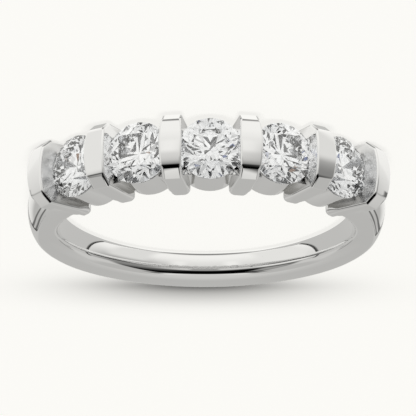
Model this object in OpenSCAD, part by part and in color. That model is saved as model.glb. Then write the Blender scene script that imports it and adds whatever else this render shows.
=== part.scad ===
// Five-stone bar-set diamond band, lying on its side.
// The finger axis is Z, the head points to -Y, and the origin is the middle of the finger hole.
// Six upright bars cross the band, and each of the five round stones sits between two of them.

/* [Finger hole] */
// Diameter of the finger hole, a ladies' size 7
finger_hole_d = 17.34; // [16.5:0.02:18.2]
// Radius of the comfort edges between the hole and the side faces
comfort_r = 0.5; // [0.4:0.05:0.55]

/* [Stones] */
// Diameter of each round stone over its girdle
stone_d = 3.7; // [3.5:0.05:3.75]
// Angle from one stone to the next, seen from the finger axis
stone_pitch = 21.7; // [21.3:0.1:22.2]
// Height of the middle of the girdles over the wall of the hole
girdle_lift = 2.6; // [2.5:0.05:2.7]
// Width of the table, from corner to corner, as a share of the stone
table_share = 0.57; // [0.54:0.01:0.62]
// Height of the crown as a share of the stone
crown_share = 0.148; // [0.13:0.002:0.16]
// Depth of the pavilion as a share of the stone
pavilion_share = 0.43; // [0.4:0.01:0.44]
// Thickness of the girdle
girdle_t = 0.1; // [0.06:0.01:0.14]
// Clearance all round each stone in its seat
stone_gap = 0.03; // [0.02:0.01:0.05]

/* [Bars] */
// Width of a bar, from stone to stone
bar_w = 1.2; // [1.1:0.05:1.3]
// Height of the bars over the wall of the hole
bar_lift = 3.95; // [3.8:0.05:4.1]
// Length of the bars along the finger axis
bar_l = 3.94; // [3.86:0.02:4.02]
// Radius of the gentle crown along the top of a bar
bar_crown_r = 4.2; // [4:0.1:5]
// Where the crown ends, as an angle from the middle of the bar
bar_crown_end = 18; // [17:0.5:19]
// Radius of the turn at each end of the crown
bar_turn_r = 0.5; // [0.4:0.05:0.55]
// Lean of the sloped facet below that turn
bar_facet_lean = 51; // [48:1:58]
// Radius of the long top edges and the upright corners of a bar
bar_edge_r = 0.13; // [0.08:0.01:0.18]
// Radius between the end faces of a bar and the finger hole
bar_foot_r = 0.3; // [0.2:0.05:0.4]
// Radius between the long sides of a bar and the finger hole
bar_foot_side_r = 0.4; // [0.3:0.05:0.45]

/* [Seats] */
// Width of the plain core between the bars, which the seats stand out from
core_w = 2.9; // [2.7:0.05:3]
// Diameter of the round seat wall under each stone
seat_d = 3.6; // [3.5:0.02:3.64]
// Radius between a seat wall and the finger hole
seat_foot_r = 0.4; // [0.3:0.05:0.5]
// Width of the rim at the top of a seat wall
seat_rim = 0.14; // [0.1:0.01:0.2]

/* [Shank] */
// Radius of the domed outside across the shank
shank_dome_r = 2; // [2:0.1:3]
// Radius of the edge between the dome and the side faces
shank_edge_r = 0.2; // [0.15:0.01:0.25]

/* [Hidden] */

STONES = 5;
hole_r = finger_hole_d / 2;
stone_r = stone_d / 2;
girdle_r = hole_r + girdle_lift;
bar_top_r = hole_r + bar_lift;
seat_r = seat_d / 2;
end_angle = STONES / 2 * stone_pitch;
// The core ends inside the end bars, this far before their middles
core_inset = 1.6;
core_angle = end_angle - core_inset;
overcut = 0.4;
// Height from the top of the core up to the middle of the girdles
core_drop = 0.45;
// End bars: depth of the shelf into the shank, and how far past the middle of the bar it starts
shelf_depth = 0.5;
shelf_start = 0.05;
// Each stone is turned half a facet, so that a bezel lies on either side of the finger axis
stone_turn = 22.5;
// Where the lower halves meet, as a share of the stone's radius
halves_share = 0.23;

// Shank: angle from the middle of the head, half width there, height of the dome over the hole
ANGLE = 0;
HALF_W = 1;
RISE = 2;
SHANK = [
    [end_angle - 1, 1.90, 2.86],
    [57, 1.84, 2.80],
    [60, 1.69, 2.70],
    [63, 1.61, 2.59],
    [67, 1.58, 2.43],
    [73, 1.54, 2.21],
    [80, 1.48, 2.00],
    [90, 1.38, 1.86],
    [100, 1.24, 1.85],
    [110, 1.11, 1.88],
    [120, 1.03, 1.96],
    [130, 0.98, 2.05],
    [142, 0.93, 2.12],
    [156, 0.90, 2.15],
    [180, 0.89, 2.17]
];
SHANK_RINGS = 72;
BORE_FACES = 180;
ROUND_FACES = 64;

// Rounded foot edge: it meets the hole at a slight angle, so it starts here on its quarter circle
foot_start = 20;
foot_steps = 5;
foot_lead = 0.2;
foot_run_on = 0.3;
dome_steps = 8;
edge_steps = 3;
turn_steps = 4;

// Points of an arc about a centre
function arc(centre, r, from, to, steps) =
    [for (i = [0:steps]) let (a = from + (to - from) * i / steps) centre + r * [cos(a), sin(a)]];

// The same points with the second coordinate turned over, in reverse order
function mirrored(points) = [for (i = [len(points) - 1:-1:0]) [points[i][0], -points[i][1]]];

// Slope of a table column at a row, from its neighbours
function slope(table, column, i) =
    let (a = max(i - 1, 0), b = min(i + 1, len(table) - 1))
    (table[b][column] - table[a][column]) / (table[b][ANGLE] - table[a][ANGLE]);

// Row of the table whose stretch holds an angle
function row_at(table, angle, i = 0) =
    i >= len(table) - 2 || angle <= table[i + 1][ANGLE] ? i : row_at(table, angle, i + 1);

// Smooth value of a table column at an angle
function smooth(table, column, angle) =
    let (
        i = row_at(table, angle),
        span = table[i + 1][ANGLE] - table[i][ANGLE],
        t = (angle - table[i][ANGLE]) / span,
        p = table[i][column],
        q = table[i + 1][column]
    )
    (2 * t ^ 3 - 3 * t ^ 2 + 1) * p + (3 * t ^ 2 - 2 * t ^ 3) * q
    + (t ^ 3 - 2 * t ^ 2 + t) * span * slope(table, column, i)
    + (t ^ 3 - t ^ 2) * span * slope(table, column, i + 1);

// Rounded edge at the foot of a wall, as points of radius and height, from inside the hole
function foot_edge(half_w, r) =
    let (
        centre = [hole_r + r, half_w - r],
        curve = arc(centre, r, 180 - foot_start, 90, foot_steps)
    )
    concat([curve[0] - foot_lead * [sin(foot_start), cos(foot_start)]], curve);

// The same edge for an outline that is cut out of a wider piece, so it runs on past the wall
function foot_cut(half_w, r) =
    let (
        edge = foot_edge(half_w, r),
        last = edge[len(edge) - 1],
        on = last + foot_run_on * (last - edge[len(edge) - 2])
    )
    concat(edge, [on, [on[0], half_w + overcut]]);

// One cross-section of the shank, as points of radius and height
function shank_section(half_w, rise) =
    let (
        top = hole_r + rise,
        dome_x = top - shank_dome_r,
        lean = asin((half_w - shank_edge_r) / (shank_dome_r - shank_edge_r)),
        edge_at = [dome_x, 0] + (shank_dome_r - shank_edge_r) * [cos(lean), sin(lean)],
        edge = arc(edge_at, shank_edge_r, 90, lean, edge_steps),
        dome = arc([dome_x, 0], shank_dome_r, lean, 0, dome_steps / 2),
        half = concat(foot_edge(half_w, comfort_r), edge, [for (i = [1:len(dome) - 1]) dome[i]])
    )
    concat(half, [for (p = mirrored(half)) if (p[1] < 0) p]);

// Puts a part that is drawn along +X at an angle from the middle of the head
module at_head(angle) rotate([0, 0, angle - 90]) children();

// Sweep of the shank's sections from one end bar round the finger to the other
module shank() {
    first = SHANK[0][ANGLE];
    rings = [for (i = [0:SHANK_RINGS]) first + (360 - 2 * first) * i / SHANK_RINGS];
    sections = [for (a = rings) let (s = min(a, 360 - a))
        shank_section(smooth(SHANK, HALF_W, s), smooth(SHANK, RISE, s))];
    n = len(sections[0]);
    points = [for (i = [0:SHANK_RINGS]) for (p = sections[i])
        [p[0] * sin(rings[i]), -p[0] * cos(rings[i]), p[1]]];
    sides = [for (i = [0:SHANK_RINGS - 1]) for (j = [0:n - 1])
        let (k = (j + 1) % n) each [
            [i * n + j, (i + 1) * n + j, (i + 1) * n + k],
            [i * n + j, (i + 1) * n + k, i * n + k]
        ]];
    caps = [[for (j = [0:n - 1]) j], [for (j = [n - 1:-1:0]) SHANK_RINGS * n + j]];
    polyhedron(points, concat(sides, caps), convexity = 8);
}

// Side outline of a bar without its crown, as points of radius and height
function bar_outline() =
    let (
        crown_at = [bar_top_r - bar_crown_r, 0],
        turn_at = crown_at
            + (bar_crown_r - bar_turn_r) * [cos(bar_crown_end), sin(bar_crown_end)],
        turn = arc(turn_at, bar_turn_r, bar_crown_end, bar_facet_lean, turn_steps),
        first = turn[0],
        second = turn[1],
        last = turn[turn_steps],
        ridge = first[0] + first[1] * (first[0] - second[0]) / (second[1] - first[1]),
        side = bar_l / 2 + overcut,
        facet_foot = last[0] - (side - last[1]) * tan(bar_facet_lean),
        half = concat(foot_cut(bar_l / 2, bar_foot_r), [[facet_foot, side]],
            [for (i = [turn_steps:-1:1]) turn[i]], [[ridge, 0]])
    )
    concat(half, [for (p = mirrored(half)) if (p[1] < 0) p]);

// Round-cornered rectangle about the origin
module round_rect(w, h, r) {
    square([w - 2 * r, h], center = true);
    square([w, h - 2 * r], center = true);
    for (x = [-1, 1], y = [-1, 1])
        translate([x * (w / 2 - r), y * (h / 2 - r)]) circle(r, $fn = ROUND_FACES);
}

// One bar along +X: a round-edged disc for its crown, cut to its three outlines
module bar() {
    front = concat(foot_cut(bar_w / 2, bar_foot_side_r),
        [[bar_top_r + overcut, bar_w / 2 + overcut]]);
    intersection() {
        translate([bar_top_r - bar_crown_r, 0, 0]) rotate([90, 0, 0])
            rotate_extrude($fn = BORE_FACES) intersection() {
                translate([bar_crown_r / 2, 0])
                    square([bar_crown_r, 2 * bar_w], center = true);
                round_rect(2 * bar_crown_r, bar_w, bar_edge_r);
            }
        rotate([90, 0, 0]) linear_extrude(2 * bar_w, center = true) polygon(bar_outline());
        rotate([0, 90, 0]) linear_extrude(bar_top_r + overcut)
            round_rect(bar_l, bar_w, bar_edge_r);
        linear_extrude(2 * bar_l, center = true) polygon(concat(front, mirrored(front)));
    }
}

// End bar: its outer half stops over the shank, which carries on from there
module end_bar(side) {
    shelf = hole_r + SHANK[0][RISE] - shelf_depth;
    difference() {
        bar();
        translate([0, side * (bar_w / 2 + shelf_start), 0])
            cube([2 * shelf, bar_w, bar_l + overcut], center = true);
    }
}

// Round wall under a stone, along +X from the hole to just below the girdle
module seat() {
    pavilion_slope = pavilion_share * stone_d / stone_r;
    top = girdle_r - girdle_t / 2 - (stone_r - seat_r + seat_rim) * pavilion_slope;
    foot = [for (p = foot_edge(seat_r, seat_foot_r)) [p[1], p[0]]];
    rotate([0, 90, 0]) rotate_extrude($fn = ROUND_FACES)
        polygon(concat([[0, foot[0][1]]], foot, [[seat_r, top], [0, top]]));
}

// Plain core of the head, which joins the bars and the seats round the finger
module core() {
    side = core_w / 2;
    wall = concat(foot_edge(side, comfort_r), [[girdle_r - core_drop, side]]);
    rotate([0, 0, -90 - core_angle]) rotate_extrude(angle = 2 * core_angle, $fn = BORE_FACES)
        polygon(concat(wall, mirrored(wall)));
}

// Space that a stone takes, with its clearance, along +X. The facets of the crown stand out past a straight
// cone from girdle to table, so the space is a little wider at the table.
module stone_space() {
    crown_h = crown_share * stone_d + stone_gap;
    pavilion_h = pavilion_share * stone_d + stone_gap;
    waist = stone_r + stone_gap;
    table_r = table_share * stone_r + 2 * stone_gap;
    half_girdle = girdle_t / 2 + stone_gap;
    translate([girdle_r, 0, 0]) rotate([0, 90, 0]) rotate_extrude($fn = ROUND_FACES)
        polygon([
            [0, -half_girdle - pavilion_h],
            [waist, -half_girdle],
            [waist, half_girdle],
            [table_r, half_girdle + crown_h],
            [0, half_girdle + crown_h]
        ]);
}

module finger_hole() {
    cylinder(h = bar_l + 2 * overcut, r = hole_r, center = true, $fn = BORE_FACES);
}

module band() color("silver") difference() {
    union() {
        shank();
        core();
        for (i = [1:STONES - 1]) at_head((i - STONES / 2) * stone_pitch) bar();
        for (side = [-1, 1]) at_head(side * end_angle) end_bar(side);
        for (i = [0:STONES - 1]) at_head((i - (STONES - 1) / 2) * stone_pitch) seat();
    }
    finger_hole();
    for (i = [0:STONES - 1]) at_head((i - (STONES - 1) / 2) * stone_pitch) stone_space();
}

// Round brilliant with 57 facets, its axis along +Z and the middle of its girdle at the origin
module brilliant() {
    MAINS = 8;
    step = 360 / MAINS;
    top = girdle_t / 2;
    crown_h = crown_share * stone_d;
    pavilion_h = pavilion_share * stone_d;
    table_r = table_share * stone_r;
    star_r = (table_r * cos(step / 2) + stone_r) / 2;
    star_z = crown_h * (stone_r - star_r * cos(step / 2)) / (stone_r - table_r);
    lower_r = halves_share * stone_r;
    lower_z = pavilion_h * (1 - lower_r * cos(step / 2) / stone_r);
    // Corners: table, star points, upper girdle, lower girdle, lower halves, culet
    table = 0;
    star = MAINS;
    upper = 2 * MAINS;
    lower = 4 * MAINS;
    halves = 6 * MAINS;
    culet = 7 * MAINS;
    points = concat(
        [for (i = [0:MAINS - 1]) [table_r * cos(i * step), table_r * sin(i * step), top + crown_h]],
        [for (i = [0:MAINS - 1]) let (a = (i + 0.5) * step)
            [star_r * cos(a), star_r * sin(a), top + star_z]],
        [for (z = [top, -top]) for (i = [0:2 * MAINS - 1]) let (a = i * step / 2)
            [stone_r * cos(a), stone_r * sin(a), z]],
        [for (i = [0:MAINS - 1]) let (a = (i + 0.5) * step)
            [lower_r * cos(a), lower_r * sin(a), -top - lower_z]],
        [[0, 0, -top - pavilion_h]]
    );
    faces = concat(
        [[for (i = [MAINS - 1:-1:0]) table + i]],
        [for (i = [0:MAINS - 1]) let (
                next = (i + 1) % MAINS,
                before = (i + MAINS - 1) % MAINS,
                g = 2 * i,
                g_next = (2 * i + 2) % (2 * MAINS)
            ) each [
                [table + i, table + next, star + i],
                [table + i, star + i, upper + g, star + before],
                [star + i, upper + g + 1, upper + g],
                [star + i, upper + g_next, upper + g + 1],
                [upper + g, upper + g + 1, lower + g + 1, lower + g],
                [upper + g + 1, upper + g_next, lower + g_next, lower + g + 1],
                [halves + i, lower + g, lower + g + 1],
                [halves + i, lower + g + 1, lower + g_next],
                [culet, halves + before, lower + g, halves + i]
            ]]
    );
    polyhedron(points, faces, convexity = 2);
}

module stone(number) color("white")
    at_head((number - (STONES + 1) / 2) * stone_pitch)
        translate([girdle_r, 0, 0]) rotate([0, 90, 0]) rotate([0, 0, stone_turn]) brilliant();

band();
stone(1);  // stone_1
stone(2);  // stone_2
stone(3);  // stone_3
stone(4);  // stone_4
stone(5);  // stone_5
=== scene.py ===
"""Looks of a five-stone diamond band, lying on its side with its head towards the viewer.

The finger axis is Z, the head points to -Y and the origin is the middle of the finger hole, as in the
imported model. Working sizes are millimetres and degrees, and every finished piece is in metres.
"""

import logging
from dataclasses import dataclass, field
from enum import Enum
from functools import partial
from math import asin, atan, atan2, cos, degrees, pi, radians, sin, tan

import bmesh
import bpy
import numpy as np
from bpy.types import Material, Mesh, Node, NodeSocket, NodeTree, Object
from mathutils import Matrix, Vector


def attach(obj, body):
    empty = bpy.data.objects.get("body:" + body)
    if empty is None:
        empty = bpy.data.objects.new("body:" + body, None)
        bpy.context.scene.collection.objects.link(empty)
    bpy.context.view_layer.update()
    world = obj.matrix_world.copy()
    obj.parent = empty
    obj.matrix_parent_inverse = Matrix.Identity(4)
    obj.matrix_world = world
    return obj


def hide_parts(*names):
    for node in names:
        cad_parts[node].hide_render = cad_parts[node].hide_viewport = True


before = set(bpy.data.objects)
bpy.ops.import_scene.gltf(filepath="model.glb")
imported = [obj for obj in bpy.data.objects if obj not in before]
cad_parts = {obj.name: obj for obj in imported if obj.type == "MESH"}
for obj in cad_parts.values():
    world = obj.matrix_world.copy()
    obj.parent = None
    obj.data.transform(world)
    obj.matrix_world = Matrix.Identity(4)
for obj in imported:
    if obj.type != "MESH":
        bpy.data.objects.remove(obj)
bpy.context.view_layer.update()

MM = 0.001
# Points closer than this, in millimetres, are one point
WELD = 1e-5
# Options that many nodes share
SOFT = {"interpolation_type": "SMOOTHSTEP"}
COLOURS = {"data_type": "RGBA"}
# The table's own light, which is also what the camera sees round it
TABLE_LIGHT = "#FAF9F5"

# Rows of an outline: radius, height and the direction that the wall faces, and more for a bar
Rows = list[list[float]]
Table = tuple[tuple[float, ...], ...]
log = logging.getLogger("diamond_band")


class Station(Enum):
    """Where a part of the band stands round the finger, which says how its walls turn."""

    ROUND = 0
    AT_BAR = 1
    AT_STONE = 2


# Small helpers


def linear(colour: str) -> tuple[float, ...]:
    """Turns an sRGB hex colour into the linear values that a shader takes.

    Args:
        colour: six hex digits with a leading #.

    Returns:
        Red, green, blue and an alpha of 1.
    """
    parts = [int(colour[i : i + 2], 16) / 255 for i in (1, 3, 5)]
    return (*(p / 12.92 if p <= 0.04045 else ((p + 0.055) / 1.055) ** 2.4 for p in parts), 1.0)


def feed(node: Node, feeds: list | tuple | dict) -> None:
    """Fills the inputs of a node.

    Args:
        node: the node.
        feeds: a value, a socket or a list of sockets for each input, in order, or by name or place.
    """
    for name, given in feeds.items() if isinstance(feeds, dict) else enumerate(feeds):
        for source in given if isinstance(given, list) else [given]:
            if isinstance(source, NodeSocket):
                node.id_data.links.new(source, node.inputs[name])
            else:
                node.inputs[name].default_value = source


def add_node(
    tree: NodeTree, kind: str, feeds: list | tuple | dict = (), out: str | int | None = 0, **settings: object
) -> NodeSocket:
    """Adds a node to a tree, sets its options and fills its inputs.

    Args:
        tree: the tree that the node goes into.
        kind: Blender's name for the node, or its short name for a shader node, then its operation, if any.
        feeds: what goes into its inputs.
        out: the output that is wanted, by name or place, or None for them all.
        settings: the node's own options.

    Returns:
        The output.
    """
    kind, _, operation = kind.partition(" ")
    node = tree.nodes.new(kind if "Node" in kind else "ShaderNode" + kind)
    for name, value in (settings | ({"operation": operation} if operation else {})).items():
        setattr(node, name, value)
    feed(node, feeds)
    return node.outputs if out is None else node.outputs[out]


def new_material(name: str) -> tuple[Material, Node]:
    """Starts a material.

    Args:
        name: name of the material.

    Returns:
        The material and its shader.
    """
    material = bpy.data.materials.new(name)
    material.use_nodes = True
    return material, material.node_tree.nodes["Principled BSDF"]


def clouded(place: NodeSocket, grain: float, detail: float, *colours: str) -> tuple[NodeSocket, NodeSocket]:
    """Lets two colours drift into one another in soft clouds.

    Args:
        place: where on the piece.
        grain: size of the clouds in millimetres.
        detail: how ragged they are.
        colours: the two colours.

    Returns:
        The colour, and the clouds themselves.
    """
    node = partial(add_node, place.id_data)
    cloud = node("TexNoise", {"Vector": place, "Scale": 1 / (grain * MM), "Detail": detail})
    return node("Mix", {0: cloud, 6: linear(colours[0]), 7: linear(colours[1])}, 2, **COLOURS), cloud


def unit(angle: float) -> tuple[float, float]:
    """Cosine and sine of an angle in degrees."""
    return cos(radians(angle)), sin(radians(angle))


def arc(centre: tuple[float, float], r: float, start: float, end: float, steps: int) -> Rows:
    """Points of an arc with the direction that its wall faces.

    Args:
        centre: radius and height of the arc's centre.
        r: radius of the arc.
        start: first direction from the centre.
        end: last direction from the centre.
        steps: number of stretches between the two.

    Returns:
        Rows of radius, height and direction.
    """
    return [[*(c + r * u for c, u in zip(centre, unit(a))), a] for a in np.linspace(start, end, steps + 1)]


def both_sides(half: Rows) -> Rows:
    """Adds the lower half to an outline drawn from the hole to the outside at heights of 0 and more."""
    signs = (1, -1, -1, 1, 1, -1)
    return half + [[v * sign for v, sign in zip(row, signs)] for row in reversed(half) if row[1] > WELD]


def smooth_step(t: np.ndarray | float) -> np.ndarray | float:
    """Eases a share between 0 and 1."""
    t = np.clip(t, 0, 1)
    return t * t * (3 - 2 * t)


def turn_about_z(vectors: np.ndarray, turn: np.ndarray) -> np.ndarray:
    """Turns rows of vectors about Z, each by its own angle in radians."""
    (x, y, z), c, s = vectors.T, np.cos(turn), np.sin(turn)
    return np.stack([x * c - y * s, x * s + y * c, z], axis=1)


def head_on(points: np.ndarray) -> np.ndarray:
    """Turns a part that is drawn along +X to the middle of the head, along -Y."""
    return np.stack([points[:, 1], -points[:, 0], points[:, 2]], axis=1)


def grid_faces(rings: int, length: int, stretches: int, steps: int) -> list[tuple[int, ...]]:
    """Faces between neighbouring rings of points, which run on from the last to the first if asked.

    Args:
        rings: number of rings.
        length: points in each.
        stretches: stretches from ring to ring that get faces.
        steps: steps along a ring that get faces.

    Returns:
        Corner numbers of each face.
    """
    faces = []
    for i in range(stretches):
        here, there = i * length, (i + 1) % rings * length
        for j in range(steps):
            k = (j + 1) % length
            faces.append((here + j, there + j, there + k, here + k))
    return faces


def read(rows: object, name: str, width: int = 1, kind: type = float) -> np.ndarray:
    """Reads one value or vector of every element of a mesh.

    Args:
        rows: the elements.
        name: name of the value.
        width: how many numbers it has.
        kind: the type of its numbers.

    Returns:
        The values, a row for each element.
    """
    values = np.empty(len(rows) * width, dtype=kind)
    rows.foreach_get(name, values)
    return values.reshape(-1, width) if width > 1 else values


def flat_walls(mesh: Mesh) -> np.ndarray:
    """Direction of the flat face at every face corner."""
    return np.repeat(read(mesh.polygons, "normal", 3), read(mesh.polygons, "loop_total", kind=int), axis=0)


def keep_closed(work: bmesh.types.BMesh, mesh: Mesh) -> Mesh:
    """Keeps a working mesh as a mesh, if it is closed.

    Args:
        work: the working mesh, which is freed.
        mesh: the mesh that takes its place.

    Returns:
        The mesh.
    """
    if any(len(e.link_faces) != 2 for e in work.edges):
        raise ValueError(f"{mesh.name} is not closed")
    work.to_mesh(mesh)
    work.free()
    return mesh


def solid_mesh(
    name: str, points: np.ndarray, faces: list[tuple[int, ...]], walls: np.ndarray | None, station: Station
) -> Mesh:
    """Makes a closed part in millimetres that remembers which way its walls face.

    Args:
        name: name of the mesh.
        points: its corners.
        faces: corner numbers of each face.
        walls: the true direction of the wall at each corner, or None for flat faces.
        station: where the part stands round the finger.

    Returns:
        The mesh, its faces outwards, with the wall directions as an attribute.
    """
    mesh = bpy.data.meshes.new(name)
    mesh.from_pydata(points.tolist(), [], faces)
    mesh.update()
    facing = flat_walls(mesh) if walls is None else walls[read(mesh.loops, "vertex_index", kind=int)]
    mesh.attributes.new("wall", "FLOAT_VECTOR", "CORNER").data.foreach_set("vector", facing.ravel())
    kinds = np.full(len(mesh.polygons), station.value)
    mesh.attributes.new("station", "INT", "FACE").data.foreach_set("value", kinds)
    work = bmesh.new()
    work.from_mesh(mesh)
    bmesh.ops.remove_doubles(work, verts=work.verts, dist=WELD)
    if work.calc_volume(signed=True) < 0:
        bmesh.ops.reverse_faces(work, faces=work.faces)
    return keep_closed(work, mesh)


def working_object(name: str, data: bpy.types.ID) -> Object:
    """Puts a mesh, a lamp or a camera into the scene.

    Args:
        name: name of the object.
        data: what it holds.

    Returns:
        The object.
    """
    thing = bpy.data.objects.new(name, data)
    bpy.context.scene.collection.objects.link(thing)
    return thing


# Sizes that the pieces share


@dataclass(frozen=True)
class Setting:
    """The head's plan: where the finger hole, the bars and the stones are."""

    hole_r: float = 8.67
    stones: int = 5
    pitch: float = 21.7
    stone_d: float = 3.7
    girdle_lift: float = 2.6
    girdle_t: float = 0.1
    crown_share: float = 0.148
    pavilion_share: float = 0.43
    table_share: float = 0.57
    stone_gap: float = 0.03
    # The parts of the head stop this far outside the wall of the hole, which the hoop makes
    sink: float = 0.006
    # Their feet bend to the curve of the hole, fully up to this height and then less and less over the next
    bend_from: float = 0.45
    bend_over: float = 1.2

    @property
    def stone_r(self) -> float:
        """Radius of a stone."""
        return self.stone_d / 2

    @property
    def girdle_r(self) -> float:
        """Distance of the girdles from the finger axis."""
        return self.hole_r + self.girdle_lift

    @property
    def foot(self) -> float:
        """Distance of the feet of the head's parts from the finger axis."""
        return self.hole_r + self.sink

    @property
    def end_angle(self) -> float:
        """Angle of the end bars from the middle of the head."""
        return self.stones / 2 * self.pitch

    def seat_on_finger(self, points: np.ndarray, walls: np.ndarray) -> tuple[np.ndarray, np.ndarray]:
        """Bends the foot of a part, which is drawn along +X, to the curve of the finger hole.

        Args:
            points: corners of the part.
            walls: wall directions at them.

        Returns:
            The bent corners and directions.
        """
        share = 1 - smooth_step((points[:, 0] - self.foot - self.bend_from) / self.bend_over)
        across = np.clip(points[:, 1], -self.foot, self.foot)
        bent = points.copy()
        bent[:, 0] -= (self.foot - np.sqrt(self.foot**2 - across**2)) * share
        return bent, turn_about_z(walls, np.arcsin(across / self.foot) * share)


# Finishes


@dataclass(frozen=True)
class WhiteGold:
    """Rhodium-plated white gold, buffed to a mirror: a bright, faintly warm grey with crisp reflections."""

    colour: str = "#F6F6F6"
    worn_colour: str = "#F2F2F2"
    # Painted shade for the recesses under the stones
    recess_shade_colour: str = "#A8A7A4"
    roughness: tuple[float, float] = (0.02, 0.05)
    satin_roughness: float = 0.3
    cloud_mm: float = 2.5
    cloud_detail: float = 3.0
    buff_mm: float = 0.12
    buff_detail: float = 2.0
    buff_depth_mm: float = 0.00004

    def make(self) -> Material:
        """Builds the metal.

        Returns:
            The finished material.
        """
        metal, shader = new_material("white_gold_polished")
        node = partial(add_node, metal.node_tree)
        place = node("TexCoord", out="Object")
        # Plating and hand buffing differ a little over a few millimetres
        tint, cloud = clouded(place, self.cloud_mm, self.cloud_detail, self.colour, self.worn_colour)
        gloss = node("MapRange", {0: cloud, 3: self.roughness[0], 4: self.roughness[1]})
        # Painted shade: the recesses under the stones, between bar and seat, are darkened to a grey
        deep, satin = (node("Attribute", out="Fac", attribute_name=name) for name in ("deep", "satin"))
        shade = node("Mix", {0: deep, 6: tint, 7: linear(self.recess_shade_colour)}, 2, **COLOURS)
        # The buff doesn't reach the walls beside the stones, which stay satin
        reached = node("MapRange", {0: satin, 3: gloss, 4: self.satin_roughness})
        # Buffing leaves a skin that is flat to a few hundredths of a micrometre
        size = 1 / (self.buff_mm * MM)
        skin = node("TexNoise", {"Vector": place, "Scale": size, "Detail": self.buff_detail})
        relief = node("Bump", {"Height": skin, "Strength": 1.0, "Distance": self.buff_depth_mm * MM})
        feed(shader, {"Base Color": shade, "Metallic": 1.0, "Roughness": reached, "Normal": relief})
        return metal


@dataclass(frozen=True)
class Diamond:
    """Colourless cut diamond: clear, and bends light so strongly that its back facets act as mirrors."""

    colour: str = "#FDFDFE"
    cool_colour: str = "#F6F9FD"
    ior: float = 2.417
    roughness: float = 0.02
    cloud_mm: float = 1.5
    cloud_detail: float = 1.0

    def make(self) -> Material:
        """Builds the diamond.

        Returns:
            The finished material.
        """
        gem, shader = new_material("diamond_brilliant_cut")
        place = add_node(gem.node_tree, "TexCoord", out="Object")
        # Growth zones tint a natural crystal very slightly
        tint, _ = clouded(place, self.cloud_mm, self.cloud_detail, self.colour, self.cool_colour)
        clear = {"IOR": self.ior, "Roughness": self.roughness, "Transmission Weight": 1.0}
        feed(shader, {"Base Color": tint, **clear})
        return gem


@dataclass(frozen=True)
class TableTop:
    """Light table under pale matt paper: even, with faint shadows, and a painted shadow of the ring that
    dims its glow behind the ring.
    """

    colour: str = "#F4F4F3"
    fibre_colour: str = "#F2F2F1"
    fibre_mm: float = 0.6
    fibre_detail: float = 4.0
    # Share of the table's brightness that comes from below
    glow: float = 0.9
    # Painted shadows of the ring, dimmed into the light from below: middle and reach along X and Y in
    # millimetres, and depth
    painted_shadows: Table = ((0.2, 15.2, 7.1, 2.2, 0.55), (0.0, 14.5, 5.8, 0.9, 0.45))
    # The painted shadow's fall towards the ring, next to its fall away from it
    near_share: float = 0.85
    least: float = 0.02

    def make(self) -> Material:
        """Builds the paper and the light below it, with the ring's shadow painted into that light.

        Returns:
            The finished material.
        """
        paper, shader = new_material("pale_matt_paper")
        node = partial(add_node, paper.node_tree)
        place = node("TexCoord", out="Object")
        tint, _ = clouded(place, self.fibre_mm, self.fibre_detail, self.colour, self.fibre_colour)
        # Painted shadow: each oval dims the table's glow behind the ring, where the ring's shadow would fall
        left = 1.0
        for x, y, reach_x, reach_y, depth in self.painted_shadows:
            size = (1 / (reach_x * MM), 1 / (reach_y * MM), 0)
            middle = {"Location": (-x / reach_x, -y / reach_y, 0), "Scale": size}
            moved = node("Mapping", {"Vector": place, **middle}, vector_type="POINT")
            part = node("SeparateXYZ", [moved], None)
            before, beyond = (node(f"Math {pick}", [part["Y"], 0.0]) for pick in ("MINIMUM", "MAXIMUM"))
            eased = node("Math MULTIPLY_ADD", [before, self.near_share, beyond])
            spot = node("CombineXYZ", [part["X"], eased])
            far = node("VectorMath DOT_PRODUCT", [spot, spot], "Value")
            dense = node("Math EXPONENT", [node("Math MULTIPLY", [far, -1.0])])
            left = node("Math MULTIPLY_ADD", [dense, -depth, left])
        strength = node("Math MULTIPLY", [node("Math MAXIMUM", [left, self.least]), self.glow])
        matt = {"Base Color": tint, "Roughness": 1.0, "Specular IOR Level": 0.0}
        feed(shader, {**matt, "Emission Color": linear(TABLE_LIGHT), "Emission Strength": strength})
        return paper


# Parts of the band


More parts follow.
